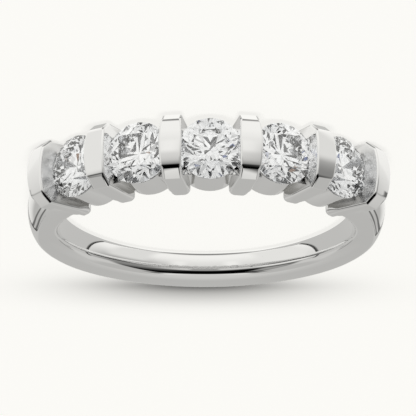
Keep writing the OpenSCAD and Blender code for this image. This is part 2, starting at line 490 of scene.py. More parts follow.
@dataclass(frozen=True)
class Hoop:
    """The ring of metal round the finger: the domed shank, and the plain core inside the head."""

    plan: Setting
    # The edge of the hole turns tightly at first, then rolls gently into the side face
    comfort_r: float = 0.45
    roll_r: float = 0.9
    roll_from: float = 50.0
    core_comfort_r: float = 0.5
    # The wall of the hole swells towards the finger: its lean at its edges, least at the head and full
    # in the shank, and the angles from the middle of the head between which it grows
    swell_lean: float = 15.0
    least_lean: float = 0.5
    swell_from: float = 60.0
    swell_to: float = 110.0
    dome_r: float = 2.0
    edge_r: float = 0.2
    # Polishing leaves the side faces leaning outwards by this much at their outer edge
    face_lean: float = 7.0
    core_half_w: float = 1.45
    core_drop: float = 0.45
    core_edge_r: float = 0.05
    core_end: float = 53.0
    core_rings: int = 107
    ring_step: float = 0.75
    # Stretches of the wall of the hole, of each roll of the comfort edge, of the rounded edge and of the
    # dome, the same in the shank and in the core
    wall_steps: int = 4
    comfort_steps: int = 6
    edge_steps: int = 5
    dome_steps: int = 12
    # Angle from the middle of the head, half width there, height of the dome over the hole
    shank: Table = (
        (53.25, 1.90, 2.86), (57, 1.84, 2.80), (60, 1.69, 2.70), (63, 1.61, 2.59), (67, 1.58, 2.43),
        (73, 1.54, 2.21), (80, 1.48, 2.00), (90, 1.38, 1.86), (100, 1.24, 1.85), (110, 1.11, 1.88),
        (120, 1.03, 1.96), (130, 0.98, 2.05), (142, 0.93, 2.12), (156, 0.90, 2.15), (180, 0.89, 2.17),
    )  # fmt: skip

    def size_at(self, angle: float, column: int) -> float:
        """Reads a column of the shank's table at an angle, on a smooth curve through its rows.

        Args:
            angle: angle from the middle of the head.
            column: 1 for the half width, 2 for the height of the dome.

        Returns:
            The size in millimetres.
        """
        rows = self.shank
        i = 0
        while i < len(rows) - 2 and angle > rows[i + 1][0]:
            i += 1

        def slope(k: int) -> float:
            """Slope of the column at a row, from its neighbours."""
            low, high = max(k - 1, 0), min(k + 1, len(rows) - 1)
            return (rows[high][column] - rows[low][column]) / (rows[high][0] - rows[low][0])

        span = rows[i + 1][0] - rows[i][0]
        t = (angle - rows[i][0]) / span
        ends = (2 * t**3 - 3 * t**2 + 1) * rows[i][column] + (3 * t**2 - 2 * t**3) * rows[i + 1][column]
        bends = (t**3 - 2 * t**2 + t) * span * slope(i) + (t**3 - t**2) * span * slope(i + 1)
        return ends + bends

    def inner_half(self, half_w: float, angle: float) -> Rows:
        """Wall of the hole, comfort edge and side face, from the middle outwards.

        Args:
            half_w: half width of the section.
            angle: angle from the middle of the head.

        Returns:
            Rows of radius, height and direction.
        """
        grown = smooth_step((angle - self.swell_from) / (self.swell_to - self.swell_from))
        lean = max(self.least_lean, self.swell_lean * grown)
        tight = self.core_comfort_r + (self.comfort_r - self.core_comfort_r) * grown
        roll = self.core_comfort_r + (self.roll_r - self.core_comfort_r) * grown
        (in_low, up_low), (in_mid, up_mid) = unit(lean), unit(self.roll_from)
        swell_r = (half_w - tight * (up_mid - up_low) - roll * (1 - up_mid)) / up_low
        centre = self.plan.hole_r + swell_r
        wall = arc((centre, 0.0), swell_r, 180, 180 - lean, self.wall_steps)[:-1]
        tight_at = (centre - (swell_r - tight) * in_low, (swell_r - tight) * up_low)
        wall += arc(tight_at, tight, 180 - lean, 180 - self.roll_from, self.comfort_steps)[:-1]
        roll_at = (tight_at[0] - (tight - roll) * in_mid, tight_at[1] + (tight - roll) * up_mid)
        return wall + arc(roll_at, roll, 180 - self.roll_from, 90, self.comfort_steps)

    def shank_section(self, angle: float) -> Rows:
        """Section of the shank.

        Args:
            angle: angle from the middle of the head.

        Returns:
            Rows of radius, height and direction.
        """
        half_w, top = self.size_at(angle, 1), self.plan.hole_r + self.size_at(angle, 2)
        inner = self.dome_r - self.edge_r
        lean = degrees(asin((half_w - self.edge_r) / inner))
        centre = (top - self.dome_r, 0.0)
        edge_at = (centre[0] + inner * cos(radians(lean)), half_w - self.edge_r)
        edge = arc(edge_at, self.edge_r, 90, lean, self.edge_steps)
        for row in edge:
            row[2] = lean + (row[2] - lean) * (90 - self.face_lean - lean) / (90 - lean)
        dome = arc(centre, self.dome_r, lean, 0, self.dome_steps)[1:]
        return both_sides(self.inner_half(half_w, angle) + edge + dome)

    def core_section(self) -> Rows:
        """Section of the core, with as many points as the shank's.

        Returns:
            Rows of radius, height and direction.
        """
        top = self.plan.girdle_r - self.core_drop
        reach = self.core_half_w - self.core_edge_r
        corner = arc((top - self.core_edge_r, reach), self.core_edge_r, 90, 0, self.edge_steps)
        flat = [[top, reach * (1 - k / self.dome_steps), 0.0] for k in range(1, self.dome_steps + 1)]
        return both_sides(self.inner_half(self.core_half_w, 0.0) + corner + flat)

    def make(self) -> Mesh:
        """Sweeps the sections once round the finger.

        Returns:
            A closed hoop in millimetres.
        """
        first = self.shank[0][0]
        count = round((360 - 2 * first) / self.ring_step) + 1
        core = np.linspace(-self.core_end, self.core_end, self.core_rings)
        rings = [(unit(a), self.core_section()) for a in core]
        shank = np.linspace(first, 360 - first, count)
        rings += [(unit(a), self.shank_section(min(a, 360 - a))) for a in shank]
        points, walls = [], []
        for (c, s), section in rings:
            out = np.array([s, -c, 0.0])
            for r, z, lean in section:
                along, up = unit(lean)
                points.append(out * r + np.array([0, 0, z]))
                walls.append(out * along + np.array([0, 0, up]))
        n, m = len(rings[0][1]), len(rings)
        return solid_mesh("hoop", np.array(points), grid_faces(m, n, m, n), np.array(walls), Station.ROUND)


@dataclass(frozen=True)
class Bar:
    """An upright bar between two stones: crowned top, rounded turn, sloped facet and flat end."""

    plan: Setting
    width: float = 1.2
    length: float = 3.94
    lift: float = 3.95
    crown_r: float = 4.2
    crown_end: float = 18.0
    turn_r: float = 0.5
    facet_lean: float = 51.0
    facet_foot_r: float = 0.06
    foot_r: float = 0.3
    # One more row along the flat of the foot, and rows up the flat end
    foot_row: float = 0.4
    end_rows: int = 9
    end_row_gap: float = 0.18
    # The long edges, from their radius at the foot to that of the upper part
    edge_r: float = 0.13
    foot_side_r: float = 0.4
    foot_side_from: float = 0.45
    foot_side_over: float = 0.6
    # The metal at each end is rounded off more, and the top swells a little over the stones' edges
    end_edge_r: float = 0.2
    end_from: float = 1.25
    end_over: float = 0.35
    swell: float = 0.08
    swell_half: float = 1.5
    swell_over: float = 0.4
    # The top is crowned a little across its width too, which fades out down the bar
    cross_crown_r: float = 14.0
    cross_from: float = 1.1
    cross_over: float = 0.9
    # The polished facet is very slightly rounded: its true lean at its top and at its foot
    facet_top_lean: float = 48.5
    facet_foot_lean: float = 54.0
    # Stretches of each rounding, and where the facet's rows are on its way up
    edge_steps: int = 6
    foot_steps: int = 8
    knee_steps: int = 4
    turn_steps: int = 10
    crown_steps: int = 12
    facet_rows: tuple[float, ...] = (0.25, 0.5, 0.75)

    def outline(self) -> Rows:
        """Side outline of the bar.

        Returns:
            Rows of radius, height, wall direction, inset limit and the two parts of the inset beyond it.
        """
        hole, side, top = self.plan.foot, self.length / 2, self.plan.hole_r + self.lift
        crown_at, reach = (top - self.crown_r, 0.0), self.crown_r - self.turn_r
        (c, s), (c_facet, s_facet) = unit(self.crown_end), unit(self.facet_lean)
        turn_at = (crown_at[0] + reach * c, reach * s)
        last = (turn_at[0] + self.turn_r * c_facet, turn_at[1] + self.turn_r * s_facet)
        knee = (last[0] - (side - last[1]) * tan(radians(self.facet_lean)), side)
        mitre = [c_facet / (1 + s_facet), 1.0]
        knee_at = (knee[0] - self.facet_foot_r * mitre[0], side - self.facet_foot_r)
        # Most rows have room for any inset
        free = [9.0, 0.0, 0.0]
        half = [[hole, side * self.foot_row * k, 180.0, *free] for k in (0, 1)]
        foot = arc((hole + self.foot_r, side - self.foot_r), self.foot_r, 180, 90, self.foot_steps)
        half += [[*row, self.foot_r, -1.0, 1.0] for row in foot]
        rise = range(1, self.end_rows + 1)
        half += [[hole + self.foot_r + self.end_row_gap * k, side, 90.0, *free] for k in rise]
        for r, z, a in arc(knee_at, self.facet_foot_r, 90, self.facet_lean, self.knee_steps):
            rolled = 90 + (a - 90) * (90 - self.facet_foot_lean) / (90 - self.facet_lean)
            half.append([r, z, rolled, self.facet_foot_r, *mitre])
        for share in self.facet_rows:
            where = (knee[0] + (last[0] - knee[0]) * share, knee[1] + (last[1] - knee[1]) * share)
            rolled = self.facet_foot_lean + (self.facet_top_lean - self.facet_foot_lean) * share
            half.append([*where, rolled, *free])
        for r, z, a in arc(turn_at, self.turn_r, self.facet_lean, self.crown_end, self.turn_steps):
            share = (a - self.crown_end) / (self.facet_lean - self.crown_end)
            half.append([r, z, self.crown_end + (self.facet_top_lean - self.crown_end) * share, *free])
        crown = arc(crown_at, self.crown_r, self.crown_end, 0, self.crown_steps)[1:]
        return both_sides(half + [[*row, *free] for row in crown])

    def make(self) -> Mesh:
        """Builds the bar at the middle of the head.

        Returns:
            A closed bar in millimetres.
        """
        plan, rows = self.plan, self.outline()
        turns = [radians(90 * k / self.edge_steps) for k in range(self.edge_steps + 1)]
        layers = [(-1, t) for t in reversed(turns)] + [(1, t) for t in turns]
        points, walls = [], []
        for side, turn in layers:
            for r, z, a, limit, mitre_x, mitre_y in rows:
                share = smooth_step((r - plan.hole_r - self.foot_side_from) / self.foot_side_over)
                ended = smooth_step((abs(z) - self.end_from) / self.end_over)
                top_edge = self.edge_r + (self.end_edge_r - self.edge_r) * ended
                edge = self.foot_side_r + (top_edge - self.foot_side_r) * share
                above = smooth_step((r - plan.girdle_r) / self.swell_over)
                half_w = self.width / 2 + self.swell * above * max(0.0, 1 - (z / self.swell_half) ** 2)
                inset = edge * (1 - cos(turn))
                direct, rest = min(inset, limit), max(0.0, inset - limit)
                up, out = unit(a)
                across = side * (half_w - edge * (1 - sin(turn)))
                points.append([r - up * direct - mitre_x * rest, across, z - out * direct - mitre_y * rest])
                walls.append([up * cos(turn), side * sin(turn), out * cos(turn)])
        n, m = len(rows), len(layers)
        faces = grid_faces(m, n, m - 1, n) + [tuple(range(n)), tuple(range(m * n - 1, (m - 1) * n - 1, -1))]
        bent, facing = plan.seat_on_finger(np.array(points), np.array(walls))
        share = smooth_step((bent[:, 0] - plan.hole_r - self.lift + self.cross_from) / self.cross_over)
        turn = np.arcsin(bent[:, 1] / self.cross_crown_r) * share
        bent[:, 0] -= bent[:, 1] ** 2 / (2 * self.cross_crown_r) * share
        return solid_mesh("bar", head_on(bent), faces, head_on(turn_about_z(facing, turn)), Station.AT_BAR)


@dataclass(frozen=True)
class Turned:
    """A part turned about the axis of a stone."""

    plan: Setting
    sides: int = 128

    def turn(self, name: str, outline: Rows, on_finger: bool) -> Mesh:
        """Turns an outline about the stone's axis at the middle of the head.

        Args:
            name: name of the mesh.
            outline: rows of height over the finger axis, radius from the stone's axis and wall direction.
            on_finger: True bends the foot to the hole.

        Returns:
            A closed part in millimetres.
        """
        points, walls = [], []
        for k in range(self.sides):
            c, s = cos(2 * pi * k / self.sides), sin(2 * pi * k / self.sides)
            for x, r, lean in outline:
                up, out = unit(lean)
                points.append([x, r * c, r * s])
                walls.append([up, out * c, out * s])
        where, facing = np.array(points), np.array(walls)
        if on_finger:
            where, facing = self.plan.seat_on_finger(where, facing)
        faces = grid_faces(self.sides, len(outline), self.sides, len(outline) - 1)
        return solid_mesh(name, head_on(where), faces, head_on(facing), Station.AT_STONE)


@dataclass(frozen=True)
class Seat(Turned):
    """The round wall under a stone."""

    seat_d: float = 3.6
    foot_r: float = 0.4
    rim: float = 0.14
    rim_r: float = 0.03
    # Stretches along the flat of the foot and up the wall, of the rounded foot and of the rim
    steps: int = 6
    foot_steps: int = 8
    rim_steps: int = 3

    def make(self) -> Mesh:
        """Builds the seat wall, solid, from the hole to just below the girdle.

        Returns:
            The wall in millimetres.
        """
        plan, steps = self.plan, self.steps
        r, foot = self.seat_d / 2, plan.foot
        slope = plan.pavilion_share * plan.stone_d / plan.stone_r
        top = plan.girdle_r - plan.girdle_t / 2 - (plan.stone_r - r + self.rim) * slope
        wall = top - self.rim_r - foot - self.foot_r
        outline = [[foot, (r - self.foot_r) * k / steps, 180.0] for k in range(steps)]
        outline += arc((foot + self.foot_r, r - self.foot_r), self.foot_r, 180, 90, self.foot_steps)
        outline += [[foot + self.foot_r + wall * k / steps, r, 90.0] for k in range(1, steps)]
        outline += arc((top - self.rim_r, r - self.rim_r), self.rim_r, 90, 0, self.rim_steps)
        return self.turn("seat", outline + [[top, 0.0, 0.0]], on_finger=True)


@dataclass(frozen=True)
class StoneSpace(Turned):
    """The room in the metal for a stone, with its clearance."""

    def make(self) -> Mesh:
        """Builds the room, with walls that face into the metal.

        Returns:
            The room in millimetres.
        """
        plan = self.plan
        gap = plan.stone_gap
        waist, half = plan.stone_r + gap, plan.girdle_t / 2 + gap
        crown, pavilion = plan.crown_share * plan.stone_d + gap, plan.pavilion_share * plan.stone_d + gap
        # The crown's facets stand out past a straight cone, so the room is a little wider at the table
        table = plan.table_share * plan.stone_r + 2 * gap
        low, high = plan.girdle_r - half, plan.girdle_r + half
        down, up = 180 - degrees(atan2(pavilion, waist)), degrees(atan2(crown, waist - table))
        outline = [[low - pavilion, 0.0, down], [low, waist, down], [low, waist, 90.0], [high, waist, 90.0]]
        outline += [[high, waist, up], [high + crown, table, up], [high + crown, table, 0.0]]
        return self.turn("stone_space", outline + [[high + crown, 0.0, 0.0]], on_finger=False)


@dataclass(frozen=True)
class ShelfCut:
    """The blocks that cut the outer halves of the end bars down to shelves, where the shank takes over."""

    plan: Setting
    bar: Bar
    shelf_lift: float = 2.36
    past_middle: float = 0.05
    from_r: float = 7.0

    def make(self) -> Mesh:
        """Builds both blocks where they stand round the finger.

        Returns:
            The blocks in millimetres.
        """
        points, faces = [], []
        corners = [(x, y, z) for x in (0, 1) for y in (0, 1) for z in (0, 1)]
        sides = [(0, 1, 3, 2), (4, 6, 7, 5), (0, 4, 5, 1), (2, 3, 7, 6), (0, 2, 6, 4), (1, 5, 7, 3)]
        deep = self.plan.hole_r + self.shelf_lift - self.from_r
        for side in (-1, 1):
            start = len(points)
            turn = Matrix.Rotation(radians(side * self.plan.end_angle - 90), 3, "Z")
            for x, y, z in corners:
                across = side * (self.past_middle + y * self.bar.width)
                where = Vector((self.from_r + x * deep, across, (z - 0.5) * 2 * self.bar.length))
                points.append(list(turn @ where))
            faces += [tuple(start + k for k in (f if side > 0 else reversed(f))) for f in sides]
        return solid_mesh("shelf_cut", np.array(points), faces, None, Station.ROUND)


# Geometry Nodes trees


def new_tree(name: str, output: str, **inputs: str) -> tuple[NodeTree, bpy.types.bpy_prop_collection]:
    """Starts a Geometry Nodes tree.

    Args:
        name: name of the tree.
        output: name of the geometry that it gives.
        inputs: kind of each input.

    Returns:
        The tree, and what it is given.
    """
    tree = bpy.data.node_groups.new(name, "GeometryNodeTree")
    for label, kind in inputs.items():
        tree.interface.new_socket(label, in_out="INPUT", socket_type="NodeSocket" + kind)
    tree.interface.new_socket(output, in_out="OUTPUT", socket_type="NodeSocketGeometry")
    return tree, add_node(tree, "NodeGroupInput", out=None)


def set_out_tree() -> NodeTree:
    """Tree that repeats a part round the finger at an even pitch, centred on an angle.

    Returns:
        The node group.
    """
    sizes = {"Part": "Geometry", "Count": "Int", "Pitch": "Float", "Middle": "Float"}
    tree, given = new_tree("set_out_round_the_finger", "Parts", **sizes)
    node = partial(add_node, tree)
    stations = node("GeometryNodeMeshLine", {"Count": given["Count"], "Offset": (0, 0, 0)})
    half = node("Math MULTIPLY", [node("Math SUBTRACT", [given["Count"], 1.0]), 0.5])
    place = node("Math SUBTRACT", [node("GeometryNodeInputIndex"), half])
    turn = node("Math RADIANS", [node("Math MULTIPLY_ADD", [place, given["Pitch"], given["Middle"]])])
    rotation = node("FunctionNodeEulerToRotation", [node("CombineXYZ", {"Z": turn})])
    placed = {"Points": stations, "Instance": given["Part"], "Rotation": rotation}
    node("NodeGroupOutput", {"Parts": node("GeometryNodeInstanceOnPoints", placed)}, None)
    return tree


def finish_tree(tree: NodeTree, made: NodeSocket, finish: NodeSocket) -> NodeTree:
    """Ends a tree: millimetres to metres, real geometry, material, output.

    Args:
        tree: the tree to end.
        made: the geometry in millimetres.
        finish: the material.

    Returns:
        The tree.
    """
    scaled = add_node(tree, "GeometryNodeTransform", {"Geometry": made, "Scale": (MM, MM, MM)})
    real = add_node(tree, "GeometryNodeRealizeInstances", {"Geometry": scaled})
    dressed = add_node(tree, "GeometryNodeSetMaterial", {"Geometry": real, "Material": finish})
    add_node(tree, "NodeGroupOutput", [dressed], None)
    return tree


def band_tree(set_out: NodeTree) -> NodeTree:
    """Tree that joins the hoop, the bars and the seats into one casting and cuts the pockets.

    Args:
        set_out: the group that repeats a part round the finger.

    Returns:
        The node group.
    """
    parts = dict.fromkeys(("Bar", "Shelf", "Seat", "Room"), "Object")
    sizes = {"Stones": "Int", "Pitch": "Float", "Metal": "Material"}
    tree, given = new_tree("cast_the_band", "Band", Hoop="Geometry", **parts, **sizes)
    node = partial(add_node, tree)
    shapes = {name: node("GeometryNodeObjectInfo", {"Object": given[name]}, "Geometry") for name in parts}
    bars = node("Math ADD", [given["Stones"], 1.0])
    placed = {}
    for name, count in (("Bar", bars), ("Seat", given["Stones"]), ("Room", given["Stones"])):
        feeds = {"Part": shapes[name], "Count": count, "Pitch": given["Pitch"], "Middle": 0.0}
        placed[name] = node("GeometryNodeGroup", feeds, node_tree=set_out)
    cut, join = "GeometryNodeMeshBoolean DIFFERENCE", "GeometryNodeMeshBoolean UNION"
    real = node("GeometryNodeRealizeInstances", {"Geometry": placed["Bar"]})
    shelved = node(cut, {"Mesh 1": real, "Mesh 2": shapes["Shelf"]}, solver="MANIFOLD")
    joined = node(join, {"Mesh 2": [given["Hoop"], shelved, placed["Seat"]]}, solver="MANIFOLD")
    pierced = node(cut, {"Mesh 1": joined, "Mesh 2": placed["Room"]}, solver="MANIFOLD")
    return finish_tree(tree, pierced, given["Metal"])


def stone_tree(set_out: NodeTree) -> NodeTree:
    """Tree that puts one cut stone at its place round the finger.

    Args:
        set_out: the group that repeats a part round the finger.

    Returns:
        The node group.
    """
    tree, given = new_tree("set_a_stone", "Set", Stone="Geometry", Angle="Float", Gem="Material")
    feeds = {"Part": given["Stone"], "Count": 1, "Pitch": 0.0, "Middle": given["Angle"]}
    return finish_tree(tree, add_node(tree, "GeometryNodeGroup", feeds, node_tree=set_out), given["Gem"])


def run_tree(thing: Object, tree: NodeTree, inputs: dict[str, object], name: str) -> Object:
    """Runs a tree on a working object and keeps the result as a plain piece.

    Args:
        thing: the working object, which is removed.
        tree: the tree.
        inputs: value of each named input.
        name: name of the finished piece.

    Returns:
        The piece, a plain mesh at the origin.
    """
    work = thing.modifiers.new("make", "NODES")
    work.node_group = tree
    for item in tree.interface.items_tree:
        if item.in_out == "INPUT" and item.name in inputs:
            work[item.identifier] = inputs[item.name]
    bpy.context.view_layer.update()
    made = bpy.data.meshes.new_from_object(thing.evaluated_get(bpy.context.evaluated_depsgraph_get()))
    made.name = name
    thing.modifiers.remove(work)
    bpy.data.objects.remove(thing)
    return working_object(name, made)


# The two kinds of finished piece


@dataclass
class Band:
    """The whole casting: hoop, bars, seats and pockets in one piece of metal."""

    plan: Setting = field(default_factory=Setting)
    finish: WhiteGold = field(default_factory=WhiteGold)
    # Share of the satin finish on the inner bars' walls, which the buff half reaches
    wall_satin: float = 0.3
    # The painted shade in the recess starts this far inside the girdles and is full this much deeper
    recess_shade_drop: float = 0.35
    recess_shade_over: float = 0.5
    # A face that agrees less than this with its drawn direction, as a cosine, keeps its flat one
    least_agreement: float = 0.7
    # How squarely a side wall faces along the band, and how far a pocket's wall may face away from its axis
    side_share: float = 0.97
    pocket_share: float = 0.2
    # A wall drawn for a station this near to the end bars, in degrees, is theirs
    near_end: float = 1.0

    def build(self, set_out: NodeTree) -> Object:
        """Casts the band.

        Args:
            set_out: the group that repeats a part round the finger.

        Returns:
            The finished band.
        """
        bar = Bar(self.plan)
        makers = {"Bar": bar, "Shelf": ShelfCut(self.plan, bar)}
        makers |= {"Seat": Seat(self.plan), "Room": StoneSpace(self.plan)}
        helpers = {name: working_object(name, maker.make()) for name, maker in makers.items()}
        inputs = dict(helpers, Stones=self.plan.stones, Pitch=self.plan.pitch, Metal=self.finish.make())
        hoop = working_object("hoop_model", Hoop(self.plan).make())
        band = run_tree(hoop, band_tree(set_out), inputs, "band_cast")
        for thing in helpers.values():
            bpy.data.objects.remove(thing)
        self.face_walls(band.data)
        return band

    def face_walls(self, mesh: Mesh) -> None:
        """Gives every face corner the true direction of its wall, its satin finish and its painted shade.

        Args:
            mesh: the joined band, whose parts still hold their directions as drawn at the head's middle.
        """
        where = read(mesh.vertices, "co", 3)[read(mesh.loops, "vertex_index", kind=int)]
        walls = read(mesh.attributes["wall"].data, "vector", 3)
        flat = flat_walls(mesh)
        kinds = read(mesh.attributes["station"].data, "value", kind=int)
        kinds = np.repeat(kinds, read(mesh.polygons, "loop_total", kind=int))
        angle = np.degrees(np.arctan2(where[:, 0], -where[:, 1]))
        shift = np.where(kinds == Station.AT_BAR.value, (self.plan.stones % 2) / 2, 0)
        station = (np.round(angle / self.plan.pitch - shift) + shift) * self.plan.pitch
        turn = np.radians(np.where(kinds == Station.ROUND.value, 0, station))
        turned = turn_about_z(walls, turn)
        agree = (turned * flat).sum(axis=1)
        turned[agree < 0] *= -1
        off = np.abs(agree) < self.least_agreement
        turned[off] = flat[off]
        # The buff doesn't reach the side walls beside the stones, all but the outer ones of the end bars
        at_end = np.abs(station) > self.plan.end_angle - self.near_end
        outer = at_end & (walls[:, 0] * station > 0)
        beside = (kinds == Station.AT_BAR.value) & (np.abs(walls[:, 0]) > self.side_share) & ~outer
        # Nor does it reach into the pockets behind the stones
        axis = np.stack([np.sin(turn), -np.cos(turn), np.zeros(len(turn))], axis=1)
        away = where - axis * (where * axis).sum(axis=1)[:, None]
        inwards = (away * turned).sum(axis=1) < self.pocket_share * np.linalg.norm(away, axis=1)
        pocket = (kinds == Station.AT_STONE.value) & inwards
        satin = (beside | pocket) * np.where(at_end | pocket, 1.0, self.wall_satin)
        # Painted shade on the side walls beside the stones, darker below the girdles towards the hole, kept
        # as the deep share
        depth = self.plan.girdle_r - self.recess_shade_drop - np.hypot(where[:, 0], where[:, 1]) / MM
        for name, shares in (("satin", satin), ("deep", smooth_step(depth / self.recess_shade_over) * beside)):
            finish = mesh.attributes.new(name, "FLOAT", "CORNER")
            finish.data.foreach_set("value", shares.astype(np.float32))
        turned /= np.linalg.norm(turned, axis=1)[:, None]
        log.info("band: %d of %d corners keep their flat direction", off.sum(), len(off))
        mesh.polygons.foreach_set("use_smooth", np.ones(len(mesh.polygons), dtype=bool))
        for name in ("wall", "station", "sharp_face"):
            if name in mesh.attributes:
                mesh.attributes.remove(mesh.attributes[name])
        mesh.normals_split_custom_set(turned.tolist())


@dataclass
class Brilliant:
    """One round brilliant with 57 facets and a polished, scalloped girdle."""

    plan: Setting
    number: int
    turn: float = 22.5
    girdle_sides: int = 96
    mains: int = 8
    lower_share: float = 0.23
    # A point this near to a facet's plane, in millimetres, lies on it
    on_plane: float = 1e-6

    def planes(self) -> list[tuple[Vector, Vector]]:
        """Cutting planes of the facets.

        Returns:
            A point on each facet and the direction that it faces.
        """
        plan = self.plan
        step = 2 * pi / self.mains
        r, top = plan.stone_r, plan.girdle_t / 2
        crown, pavilion = plan.crown_share * plan.stone_d, plan.pavilion_share * plan.stone_d
        table_r = plan.table_share * r
        star_r = (table_r * cos(step / 2) + r) / 2
        star_z = crown * (r - star_r * cos(step / 2)) / (r - table_r)
        lower_r = self.lower_share * r
        lower_z = pavilion * (1 - lower_r * cos(step / 2) / r)

        def at(radius: float, turn: float, height: float) -> Vector:
            """A point by its radius, its turn in steps and its height."""
            return Vector((radius * cos(turn * step), radius * sin(turn * step), height))

        cuts = [(Vector((0, 0, top + crown)), Vector((0, 0, 1)))]
        for i in range(self.mains):
            here, there = at(table_r, i, top + crown), at(table_r, i + 1, top + crown)
            before, star = at(star_r, i - 0.5, top + star_z), at(star_r, i + 0.5, top + star_z)
            behind, lower = at(lower_r, i - 0.5, -top - lower_z), at(lower_r, i + 0.5, -top - lower_z)
            facets = [(here, before, star), (here, there, star)]
            facets += [(star, at(r, i + k, top), at(r, i + 0.5, top)) for k in (0, 1)]
            facets += [(at(0, 0, -top - pavilion), behind, lower)]
            facets += [(lower, at(r, i + k, -top), at(r, i + 0.5, -top)) for k in (0, 1)]
            for a, b, c in facets:
                normal = (b - a).cross(c - a).normalized()
                cuts.append((a, normal if normal.dot(a) > 0 else -normal))
        return cuts

    def cut(self) -> Mesh:
        """Cuts the facets on a round blank, as a cutter does.

        Returns:
            The stone at the middle of the head, in millimetres.
        """
        plan = self.plan
        stone = bmesh.new()
        blank = {"segments": self.girdle_sides, "radius1": plan.stone_r, "radius2": plan.stone_r}
        bmesh.ops.create_cone(stone, cap_ends=True, depth=2 * plan.stone_d, **blank)
        for point, normal in self.planes():
            parts = list(stone.verts) + list(stone.edges) + list(stone.faces)
            plane = {"plane_co": point, "plane_no": normal, "dist": self.on_plane}
            made = bmesh.ops.bisect_plane(stone, geom=parts, clear_outer=True, **plane)
            rim = [e for e in made["geom_cut"] if isinstance(e, bmesh.types.BMEdge) and e.is_boundary]
            if rim:
                bmesh.ops.contextual_create(stone, geom=rim)
        bmesh.ops.remove_doubles(stone, verts=stone.verts, dist=10 * WELD)
        bmesh.ops.recalc_face_normals(stone, faces=stone.faces)
        # Axis along -Y, towards the viewer, after the stone's own turn in its seat
        place = Matrix.Translation((0, -plan.girdle_r, 0)) @ Matrix.Rotation(radians(90), 4, "X")
        place = place @ Matrix.Rotation(radians(self.turn), 4, "Z")
        bmesh.ops.transform(stone, matrix=place, verts=stone.verts)
        return keep_closed(stone, bpy.data.meshes.new(f"stone_{self.number}"))

    def build(self, tree: NodeTree, gem: Material) -> Object:
        """Cuts the stone and sets it.

        Args:
            tree: the tree that puts a stone at its place.
            gem: the diamond.

        Returns:
            The finished stone.
        """
        angle = (self.number - (self.plan.stones + 1) / 2) * self.plan.pitch
        blank = working_object(f"stone_{self.number}_model", self.cut())
        return run_tree(blank, tree, {"Angle": angle, "Gem": gem}, f"brilliant_{self.number}")


# Floor, light and camera


@dataclass(frozen=True)
class Panel:
    """A soft-edged patch of the surroundings, by its direction from the ring, in degrees."""

    name: str
    # Angle round from the head's side, and height over the horizon
    round_at: float
    height: float
    half_round: float
    half_height: float
    soft: float
    bright: float
    both_sides: bool = True


@dataclass(frozen=True)
class ViewPoint:
    """The camera: above the table, in front of the head, turned head down. Angles are in radians."""

    over: float = 1.225144646767734
    swing: float = 0.023231067374811783
    roll: float = 0.0030887402872365683
    distance: float = 400.0
    # Where it aims beside the middle of the hole, in millimetres to the right and up
    aim: tuple[float, float] = (0.10949390626581634, 0.3801665761534695)
    # Pixels of the picture for each millimetre, the picture's width and the sensor's
    scale: float = 16.898983695058845
    picture: int = 416
    sensor: float = 36.0

    def set_up(self) -> None:
        """Places the camera and makes it the scene's."""
        c, s = cos(self.swing), sin(self.swing)
        right = Vector((-c, -s, 0))
        up = Vector((s * cos(self.over), -c * cos(self.over), -sin(self.over)))
        ahead = Vector((-s * sin(self.over), c * sin(self.over), -cos(self.over)))
        lens = bpy.data.cameras.new("camera")
        lens.sensor_width = self.sensor
        lens.lens = self.scale * self.distance / self.picture * self.sensor
        lens.clip_start, lens.clip_end = 0.01, 10
        holder = working_object("camera", lens)
        across = right * cos(self.roll) - up * sin(self.roll)
        upward = right * sin(self.roll) + up * cos(self.roll)
        stand = Matrix((across, upward, -ahead)).transposed().to_4x4()
        stand.translation = (-self.distance * ahead + self.aim[0] * right + self.aim[1] * up) * MM
        holder.matrix_world = stand
        bpy.context.scene.camera = holder


